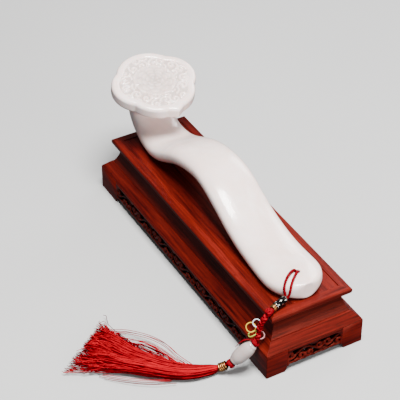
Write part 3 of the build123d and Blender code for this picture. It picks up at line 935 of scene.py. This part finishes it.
def ease_neck_and_bend(piece):
    """Runs the neck's top softly into the head, and rounds the low bend's inside."""
    neck = piece.vertex_groups.new(name="neck")
    bend = piece.vertex_groups.new(name="bend")
    for vertex in piece.data.vertices:
        place = vertex.co / MM
        local = place - HEAD_CENTRE
        below = local.dot(HEAD_NORMAL) + HEAD_THICKNESS
        share = 1.0 - abs(below - NECK_MIDDLE) / NECK_FADE
        in_neck = (local.x / NECK_HALF_LENGTH) ** 2 + (local.y / NECK_HALF_WIDTH) ** 2 < 1.0
        if share > 0 and below < NECK_TOP and in_neck:
            neck.add([vertex.index], share, "REPLACE")
        near = 1.0 - math.hypot(place.x - BEND_X, place.z - BEND_Z) / BEND_REACH
        if near > 0:
            bend.add([vertex.index], min(1.0, BEND_RISE * near), "REPLACE")
    smooth(piece, NECK_ROUNDS, "neck")
    smooth(piece, BEND_ROUNDS, "bend")
    apply_modifiers(piece)
    piece.vertex_groups.clear()


def jade_ruyi():
    """The carved stone: the CAD body with its cuts polished smooth, its neck
    running softly into the head, and the head's relief."""
    mesh, edit = opened("ruyi_body")
    edit.to_mesh(mesh)
    edit.free()
    piece = link("ruyi_jade", mesh)
    remesh(piece, STONE_VOXEL)
    smooth(piece, POLISH_ROUNDS)
    apply_modifiers(piece)
    ease_neck_and_bend(piece)
    carve_head(piece.data)
    piece.data.shade_smooth()
    finish_piece(piece, "ruyi", "jade", "ruyi_body", JADE)


# ---- pendant


def cord_piece(name, shape):
    """A red piece on the pendant, named after its CAD node."""
    return finish_piece(shape_object(name, shape), "ruyi", "red_cord", name.rsplit("_", 1)[0], RED_CORD)


def rope(line):
    """Twisted cord along a line: plies that wind round it side by side."""
    path, along = evenly(line, 0.3)
    ply_radius = ROPE_RADIUS / (1 + 1 / math.sin(math.pi / ROPE_PLIES))
    made = Shape()
    for ply in range(ROPE_PLIES):
        angle = 2 * math.pi * (along / ROPE_PITCH + ply / ROPE_PLIES)
        ply_path = winding(path, angle, ROPE_RADIUS - ply_radius)
        made.add(*tube(ply_path, ply_radius, 8), tone=0.35 + 0.3 * ply / ROPE_PLIES)
    return made, path


def plait(line):
    """Square braid of four strands, two each way, passing over and under round
    a core. Its radius follows the bulges, evenly spaced from end to end."""
    path, along = evenly(line, 0.2)
    radius = np.interp(along / along[-1], np.linspace(0, 1, len(BRAID_BULGES)), BRAID_BULGES)
    strand = radius * 0.38
    wave = 0.22 * radius
    middle = radius - strand - wave
    # The core takes the lowest tone, near-black red: painted shade seen through the gaps between the
    # strands.
    made = Shape().add(*tube(path, middle * 0.9, 10), tone=0.0)
    turn = 2 * math.pi * along / BRAID_PITCH
    for way in (-1, 1):
        for place in range(2):
            reach = middle + way * wave * np.cos(2 * turn)
            strand_path = winding(path, way * turn + place * math.pi, reach)
            made.add(*tube(strand_path, strand, 9), tone=0.35 + 0.55 * place)
    return made, path


# Button knots: how often the cord goes round, and how often it swings up and
# down. Then the turns of a wrapped knot.
KNOT_LEADS = 3
KNOT_BIGHTS = 5
WRAP_TURNS = 3
# Loose ends beside the jade bead: how far each reaches and lifts, then their
# stations along the bead, out to its side and up from it
LOOSE_ENDS = ((1.0, 0.0), (0.8, 1.2), (0.55, 0.5))
LOOSE_END_ROUTE = ((-2.6, 1.6, 0.6), (0.5, 4.6, 1.0), (4.5, 6.3, 0.6), (8.0, 6.6, 0.0), (11.0, 6.2, -0.6))
LOOSE_END_RADIUS = 0.16


def ball_knot(centre, direction, radius, half_length, thread):
    """Woven button knot: one cord that winds over and under itself round a ball."""
    turns = np.linspace(0, 2 * math.pi, 320, endpoint=False)
    longitude = KNOT_LEADS * turns
    latitude = 1.12 * np.sin(KNOT_BIGHTS * turns)
    weave = np.cos((2 * KNOT_BIGHTS + KNOT_LEADS) * turns)
    rise = 1 - thread / radius * (1.15 + 0.55 * weave)
    reach = radius * rise * np.cos(latitude)
    height = half_length * rise * np.sin(latitude)
    path = wound(centre, direction, reach, longitude, height)
    core = []
    for angle in np.linspace(0.12 - math.pi / 2, math.pi / 2 - 0.12, 11):
        core.append((radius * 0.62 * math.cos(angle), half_length * 0.62 * math.sin(angle)))
    core = [(0.05, core[0][1])] + core + [(0.05, core[-1][1])]
    made = Shape().add(*tube(path, thread, 8, closed=True), tone=0.55)
    # The ball inside takes a low tone, dark red: painted shade seen through the gaps in the weave.
    return made.add(*turned(core, centre, direction, 20), tone=0.1)


def wrapped_knot(centre, radius, half_length, thread):
    """A tight whipping on the jade bead's line: cord wound in tilted turns."""
    part = np.linspace(0.0, 1.0, WRAP_TURNS * 40 + 1)
    angle = 2 * math.pi * WRAP_TURNS * part
    reach = (radius - thread) * (0.75 + 0.25 * np.cos((part - 0.5) * 1.7))
    along = (part - 0.5) * 2 * (half_length - thread) + 0.22 * np.sin(angle + 0.6)
    path = wound(centre, JADE_LINE, reach, angle, along)
    wide, high = radius * 0.6, half_length * 0.8
    core = [(0.05, -high), (wide, -high), (wide, high), (0.05, high)]
    made = Shape().add(*tube(path, thread, 8), tone=0.5)
    # The core inside takes a low tone, dark red: painted shade seen between the turns.
    return made.add(*turned(core, centre, JADE_LINE, 20), tone=0.1)


def red_strands():
    """The two strands over the tail, each twisted from its plies."""
    made = []
    across = BEAD_LINE.cross(Vector((0, 0, 1))).normalized() * STRAND_OFFSET
    threading = BEAD_TOP - BEAD_LINE * LEAD_IN, BEAD_END, ROUND_KNOT - SPACER_LINE * STRAND_SHORT
    for name, route, side in (("strand_near", STRAND_NEAR, 1), ("strand_far", STRAND_FAR, -1)):
        line = spline_line(name + "_line", route + [tuple(point + across * side) for point in threading])
        shape, path = rope(line)
        made.append((cord_piece(name + "_cord", shape), path))
    return made


def red_braid():
    """The braid that hangs from the round knot, through the jade bead."""
    upper = JADE_TOP - JADE_LINE * BRAID_LEAD_IN
    line = spline_line("braid_line", [tuple(ROUND_KNOT)] + BRAID_DROP + [tuple(upper), tuple(COLLAR)])
    shape, path = plait(line)
    return cord_piece("braid_cord", shape), path


def mirrored(profile, length):
    """The far end of a bead's profile, from its near end."""
    return [(radius, length - along) for radius, along in reversed(profile)]


# The dark bead's inlay: rows of lozenges between a ring near each end
INLAY_ROWS = 3
INLAY_LOZENGES = 5


def inlaid(around_part, along_part):
    """Whether a place on the dark bead's wall, in parts of a turn and of its
    length, is silver."""
    from_end = min(along_part, 1 - along_part)
    if from_end < 0.06:
        return from_end > 0.035
    row = int(along_part * INLAY_ROWS)
    across_spot = ((around_part * INLAY_LOZENGES + 0.5 * (row % 2)) % 1.0 - 0.5) / 0.22
    along_spot = ((along_part * INLAY_ROWS) % 1.0 - 0.5) / 0.24
    return abs(across_spot) + abs(along_spot) < 1.0


def black_bead():
    """Glazed tube bead with a plain inlaid pattern of rings and lozenges."""
    length = (BEAD_END - BEAD_TOP).length
    near_end = [(BEAD_BORE, 0.0), (BEAD_RADIUS - 0.35, 0.0), (BEAD_RADIUS - 0.1, 0.1)]
    wall = [(BEAD_RADIUS, along) for along in np.linspace(0.3, length - 0.3, 44)]
    profile = near_end + wall + mirrored(near_end, length)
    piece = shape_object("black_bead_glazed", Shape().add(*turned(profile, BEAD_TOP, BEAD_LINE, 72)), 40)
    finish_piece(piece, "black_bead", "dark_bead", "black_bead", BLACK, SILVER)
    inverse = towards(BEAD_LINE).inverted()
    for face in piece.data.polygons:
        local = inverse @ (face.center / MM - BEAD_TOP)
        on_wall = math.hypot(local.x, local.y) > BEAD_RADIUS - 0.15
        around_part = (math.atan2(local.y, local.x) / (2 * math.pi)) % 1.0
        face.material_index = int(on_wall and inlaid(around_part, local.z / length))
    return piece


def gold_spacer():
    """Small gilt ring with three beaded ridges."""
    profile = [(BEAD_BORE, 0.15)]
    for part in np.linspace(0.0, 1.0, 25):
        ridge = 0.33 * abs(math.sin(3 * math.pi * part))
        rounding = 0.25 * (2 * part - 1) ** 4
        profile.append((SPACER_RADIUS - 0.35 + ridge - rounding, 0.05 + part * (SPACER_LENGTH - 0.1)))
    profile.append((BEAD_BORE, SPACER_LENGTH - 0.15))
    start = BEAD_END + SPACER_LINE * SPACER_GAP
    shape = Shape().add(*turned(profile, start, SPACER_LINE, 48), tone=1.0)
    piece = shape_object("gold_spacer_ring", shape, 60)
    return finish_piece(piece, "gold_spacer", "gilt", "gold_spacer", GILT)


def jade_barrel():
    """Barrel bead: softly rounded rims and a countersunk bore."""
    length = (JADE_END - JADE_TOP).length
    rim = 1.7
    near_end = [(JADE_BORE, 0.5), (JADE_BORE + 0.35, 0.08)]
    for angle in QUARTER:
        near_end.append((JADE_END_RADIUS - rim + rim * math.sin(angle), rim - rim * math.cos(angle)))
    wall = []
    for part in np.linspace(0.05, 0.95, 19):
        bulge = 1 - abs(2 * part - 1) ** 3.2
        radius = JADE_END_RADIUS + (JADE_MIDDLE_RADIUS - JADE_END_RADIUS) * bulge
        wall.append((radius, rim + part * (length - 2 * rim)))
    profile = near_end + wall + mirrored(near_end, length)
    shape = Shape().add(*turned(profile, JADE_TOP, JADE_LINE, 72))
    piece = shape_object("jade_barrel_bead", shape)
    return finish_piece(piece, "jade_bead", "jade", "jade_bead", BEAD_JADE)


def bead_knot():
    """The wrap above the jade bead, with its loose ends beside the bead."""
    wrap_centre = JADE_TOP - JADE_LINE * (PIECE_GAP + BEAD_KNOT_HALF)
    wrap = wrapped_knot(wrap_centre, BEAD_KNOT_RADIUS, BEAD_KNOT_HALF, 0.6)
    facing = Vector(FACING_OUT)
    beside = JADE_LINE.cross(facing).normalized()
    for reach, lift in LOOSE_ENDS:
        stations = []
        for along, out, up in LOOSE_END_ROUTE:
            aside = beside * (out + 0.2 * lift) + facing * (up + lift)
            stations.append(tuple(JADE_TOP + JADE_LINE * (along * reach) + aside))
        wrap.add(*tube(smooth_stations(np.array(stations), 6), LOOSE_END_RADIUS, 6), tone=0.8)
    return wrap


def knots():
    low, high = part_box("stopper_knot")
    stopper = (Vector(low) + Vector(high)) / (2 * MM)
    shapes = {
        "stopper_knot": ball_knot(stopper, Vector((0, 0, 1)), 2.55, 2.55, 0.62),
        "round_knot": ball_knot(ROUND_KNOT, SPACER_LINE, ROUND_KNOT_RADIUS - 0.3, ROUND_KNOT_RADIUS, 0.7),
        "bead_knot": bead_knot(),
        "collar_knot": wrapped_knot(COLLAR, COLLAR_RADIUS, COLLAR_HALF, 0.68),
    }
    return {name: cord_piece(name + "_tied", shape) for name, shape in shapes.items()}


def thread_loops():
    """Stiff rings of wrapped thread, one of each colour, with the wrapping's ridges."""
    made = []
    for colour, (centre, radius, axis, dark, bright) in LOOPS.items():
        wraps = int(round(2 * math.pi * radius / 0.42))
        angle = np.linspace(0.0, 2 * math.pi, wraps * 8, endpoint=False)
        across = radius * (1 + 0.05 * np.sin(2 * angle + radius)) * np.cos(angle)
        path = placed(centre, axis, across, radius * np.sin(angle), 0.12 * np.sin(3 * angle))
        thickness = LOOP_THREAD * (0.72 + 0.14 * np.abs(np.cos(wraps * angle / 2)))
        shape = Shape().add(*tube(path, thickness, 12, closed=True), tone=0.6)
        piece = shape_object(f"loop_{colour}_thread", shape)
        slot = f"{colour}_thread"
        made.append(finish_piece(piece, "ruyi", slot, f"loop_{colour}", thread_look(slot, dark, bright)))
    return made


def gold_coil():
    """Gilt wire wound round the tassel's head, its ends tucked in, over a thin sleeve."""
    length = (COIL_END - COIL_START).length
    part = np.linspace(0.0, 1.0, COIL_TURNS * 48 + 1)
    angle = 2 * math.pi * COIL_TURNS * part
    along = COIL_WIRE * 0.8 + part * (length - 1.6 * COIL_WIRE)
    tuck = np.minimum(1.0, np.minimum(part, 1 - part) * COIL_TURNS * 3)
    reach = COIL_SLEEVE + 0.4 - 0.6 * (1 - tuck)
    path = wound(COIL_START, COIL_LINE, reach, angle, along)
    shape = Shape().add(*tube(path, COIL_WIRE, 12), tone=1.0)
    sleeve = [(COIL_BORE, 0.0), (COIL_SLEEVE, 0.0), (COIL_SLEEVE, length), (COIL_BORE, length)]
    # The sleeve's tone of 0 paints it dark brown: painted shade in the gaps between the wire's turns.
    shape.add(*turned(sleeve, COIL_START, COIL_LINE, 40), tone=0.0)
    return finish_piece(shape_object("gold_coil_wire", shape, 50), "tassel", "gilt", "gold_coil", GILT)


# ---- tassel

THREADS = 620
THREAD_RADIUS = 0.22
THREAD_LOWEST = 0.27
THREAD_POINTS = 26
CLUMPS = 12
# Threads that leave the bundle in arcs of their own, a few to each arc
LOOSE_PER_ARC = 4
LOOSE_ARCS = [
    [
        (90.0, -76.0, 5.5),
        (78.0, -81.0, 7.5),
        (64.0, -83.0, 7.0),
        (51.0, -88.0, 5.5),
        (38.0, -97.0, 3.5),
        (31.0, -104.0, 1.5),
    ],
    [(92.0, -78.0, 4.5), (80.0, -85.0, 7.0), (66.0, -89.0, 6.5), (53.0, -95.0, 4.5), (44.0, -104.0, 2.0)],
    [(88.0, -82.0, 5.0), (74.0, -88.0, 8.0), (58.0, -94.0, 7.5), (43.0, -104.0, 4.5), (33.0, -115.0, 1.5)],
    [(94.0, -92.0, 2.5), (88.0, -106.0, 3.0), (78.0, -119.0, 2.5), (66.0, -131.0, 1.5)],
]
# Threads that lie between the bundle and the second of those arcs
FLY_AWAY = 34
FLY_AWAY_NEAR = [
    (92.0, -82.0, 4.0),
    (80.0, -92.5, 4.5),
    (66.0, -102.0, 4.0),
    (52.0, -108.0, 3.5),
    (37.0, -115.0, 1.5),
]


def skirt_line():
    """The bundle's middle line and half sizes, from inside the coil to its ends."""
    stations = [
        (*(COIL_START + COIL_LINE * 0.5), 1.2, 1.2),
        (*(COIL_START + COIL_LINE * 2.0), 1.75, 1.75),
        (*COIL_END, 2.1, 2.1),
    ]
    for x, y, half_width, half_height in SKIRT:
        stations.append((x, y, FLOOR_GAP + half_height, half_width, half_height))
    return np.array(stations)


def thread_path(line, across, spot, clump, reach, phase, curl, stray):
    """One thread: it keeps its place in the bundle, then drifts to its clump
    in waves of its own."""
    parts = np.linspace(0.0, reach, THREAD_POINTS)
    where = parts * (len(line) - 1)
    index = np.minimum(where.astype(int), len(line) - 2)
    rest = (where - index)[:, None]
    rows = line[index] * (1 - rest) + line[index + 1] * rest
    sideways = across[index] * (1 - rest) + across[index + 1] * rest
    late = rising(parts, 0.25, 0.75)
    ease = late * late * (3 - 2 * late)
    wander = late * (
        0.17 * np.sin(phase + 6.0 * parts)
        + 0.12 * np.sin(2.3 * phase + 17.0 * parts)
        + 0.05 * np.sin(1.3 * phase + 37.0 * parts)
    )
    place = spot[0] + (clump - spot[0]) * 0.45 * ease + stray * late**3 + curl * wander
    height = spot[1] * (1 - 0.25 * late) + 0.16 * np.sin(1.7 * phase + 9.0 * parts) * late
    points = rows[:, :3] + sideways * (place * rows[:, 3])[:, None]
    points[:, 2] += height * rows[:, 4]
    points[:, 2] = np.maximum(points[:, 2], THREAD_LOWEST)
    return points


def bundle(shape):
    """The threads that hang together, each drawn to the clump nearest to it."""
    line = smooth_stations(skirt_line(), 8)
    ahead = np.gradient(line[:, :2], axis=0)
    ahead = ahead / np.linalg.norm(ahead, axis=1)[:, None]
    across = np.stack([-ahead[:, 1], ahead[:, 0], np.zeros(len(line))], axis=1)
    clumps = []
    for number in range(CLUMPS):
        middle = -0.98 + 1.96 * (number + random.uniform(0.25, 0.75)) / CLUMPS
        longest = 1.0 if number in (0, CLUMPS - 1) else random.uniform(0.84, 1.0)
        clumps.append((middle, longest, random.uniform(0, 2 * math.pi)))
    for _ in range(THREADS):
        radius = math.sqrt(random.random()) * 0.98
        angle = random.uniform(0, 2 * math.pi)
        spot = (radius * math.cos(angle), radius * math.sin(angle))
        clump, longest, sway = min(clumps, key=lambda c: abs(c[0] - spot[0] - random.gauss(0, 0.14)))
        reach = min(1.0, longest * random.triangular(0.86, 1.03, 0.99))
        curl = 1.0 if random.random() < 0.9 else random.uniform(1.5, 2.6)
        phase = sway + random.gauss(0, 0.5) if random.random() < 0.4 else random.uniform(0, 2 * math.pi)
        stray = max(-0.5, min(0.5, random.gauss(0, 0.17)))
        path = thread_path(line, across, spot, clump + random.gauss(0, 0.045), reach, phase, curl, stray)
        radii = THREAD_RADIUS * np.linspace(0.8, 1.1, len(path))
        radii[-1] *= 0.6
        # Painted light and shade: threads high in the bundle are more often bright and threads low in it
        # more often dark, besides the random spread of their tones.
        lit = random.random() < 0.10 + 0.55 * (0.5 + 0.5 * spot[1])
        tone = random.uniform(0.5, 1.2) if lit else random.uniform(0.0, 0.25)
        shape.add(*tube(path, radii, 5), tone=tone)


def scatter(sideways, lowest, highest):
    """A random shift: some way to each side, and between two heights."""
    limits = (-sideways, sideways), (-sideways, sideways), (lowest, highest)
    return [random.uniform(low, high) for low, high in limits]


def loose_thread(shape, stations, tone):
    """One thread through stations of its own, held above the floor."""
    stations[:, 2] = np.maximum(stations[:, 2], THREAD_LOWEST)
    shape.add(*tube(smooth_stations(stations, 8), THREAD_RADIUS, 5), tone=tone)


def tassel():
    shape = Shape()
    bundle(shape)
    for arc in LOOSE_ARCS:
        for _ in range(LOOSE_PER_ARC):
            stations = np.array(arc) + scatter(2.0, -0.5, 0.5)
            loose_thread(shape, stations, random.uniform(0.3, 0.9))
    near, far = np.array(FLY_AWAY_NEAR), np.array(LOOSE_ARCS[1])
    for _ in range(FLY_AWAY):
        share = random.random() ** 1.8
        stations = near * (1 - share) + far * share
        stations[1:] += [scatter(1.5, -1.0, 0.3) for _ in stations[1:]]
        loose_thread(shape, stations, random.uniform(0.2, 1.0))
    finish_piece(shape_object("tassel_threads", shape), "tassel", "red_silk", "tassel_skirt", RED_SILK)


# ---- floor, light, camera

FLOOR_REACH = 4.0
SENSOR_WIDTH = 36.0
# Each light's place, aim, size, power and colour
LIGHTS = {
    "key": ((0.30, -0.04, 1.28), (-0.02, 0.0, 0.05), (0.5, 0.5), 62.0, (1.0, 0.99, 0.97)),
    "fill": ((1.25, 0.30, 0.38), (0.05, 0.0, 0.03), (0.6, 0.6), 13.0, (1.0, 0.98, 0.97)),
    "rim": ((-0.5, 0.9, 0.75), (-0.02, 0.0, 0.05), (0.6, 0.4), 7.0, (0.97, 0.98, 1.0)),
}


def aim(holder, target):
    direction = Vector(target) - holder.location
    holder.rotation_euler = direction.to_track_quat("-Z", "Y").to_euler()


def floor():
    """A pale floor that throws no light or reflection on the object."""
    mesh = bpy.data.meshes.new("floor")
    corners = [(FLOOR_REACH * x, FLOOR_REACH * y, 0) for x, y in ((-1, -1), (1, -1), (1, 1), (-1, 1))]
    mesh.from_pydata(corners, [], [(0, 1, 2, 3)])
    mesh.materials.append(PALE_FLOOR)
    ground = link("floor", mesh)
    ground.visible_diffuse = False
    ground.visible_glossy = False


def studio():
    """A dim grey world and three area lights."""
    world = bpy.data.worlds.new("studio")
    bpy.context.scene.world = world
    world.use_nodes = True
    background = world.node_tree.nodes["Background"]
    background.inputs["Color"].default_value = (0.95, 0.96, 1.0, 1.0)
    background.inputs["Strength"].default_value = 0.22
    for name, (place, target, size, power, colour) in LIGHTS.items():
        light = bpy.data.lights.new(name, "AREA")
        light.shape = "RECTANGLE"
        light.size, light.size_y = size
        light.energy = power
        light.color = colour
        holder = link(name, light)
        holder.location = place
        aim(holder, target)


def camera():
    azimuth, elevation = math.radians(CAMERA_AZIMUTH), math.radians(CAMERA_ELEVATION)
    level = math.cos(elevation)
    back = Vector((math.sin(azimuth) * level, -math.cos(azimuth) * level, math.sin(elevation)))
    data = bpy.data.cameras.new("camera")
    data.lens = LENS
    data.sensor_width = SENSOR_WIDTH
    data.clip_start = 0.05
    data.clip_end = 20.0
    holder = link("camera", data)
    target = Vector(TARGET) * MM
    holder.location = target + back * (CAMERA_DISTANCE * MM)
    aim(holder, target)
    bpy.context.scene.camera = holder


def main():
    camera()
    studio()
    floor()
    stand_boards()
    for side in SIDES:
        carved_apron(side)
    jade_ruyi()
    strands = red_strands()
    braid, braid_path = red_braid()
    bead, spacer, barrel = black_bead(), gold_spacer(), jade_barrel()
    tied = knots()
    loops = thread_loops()
    coil = gold_coil()
    tassel()


main()
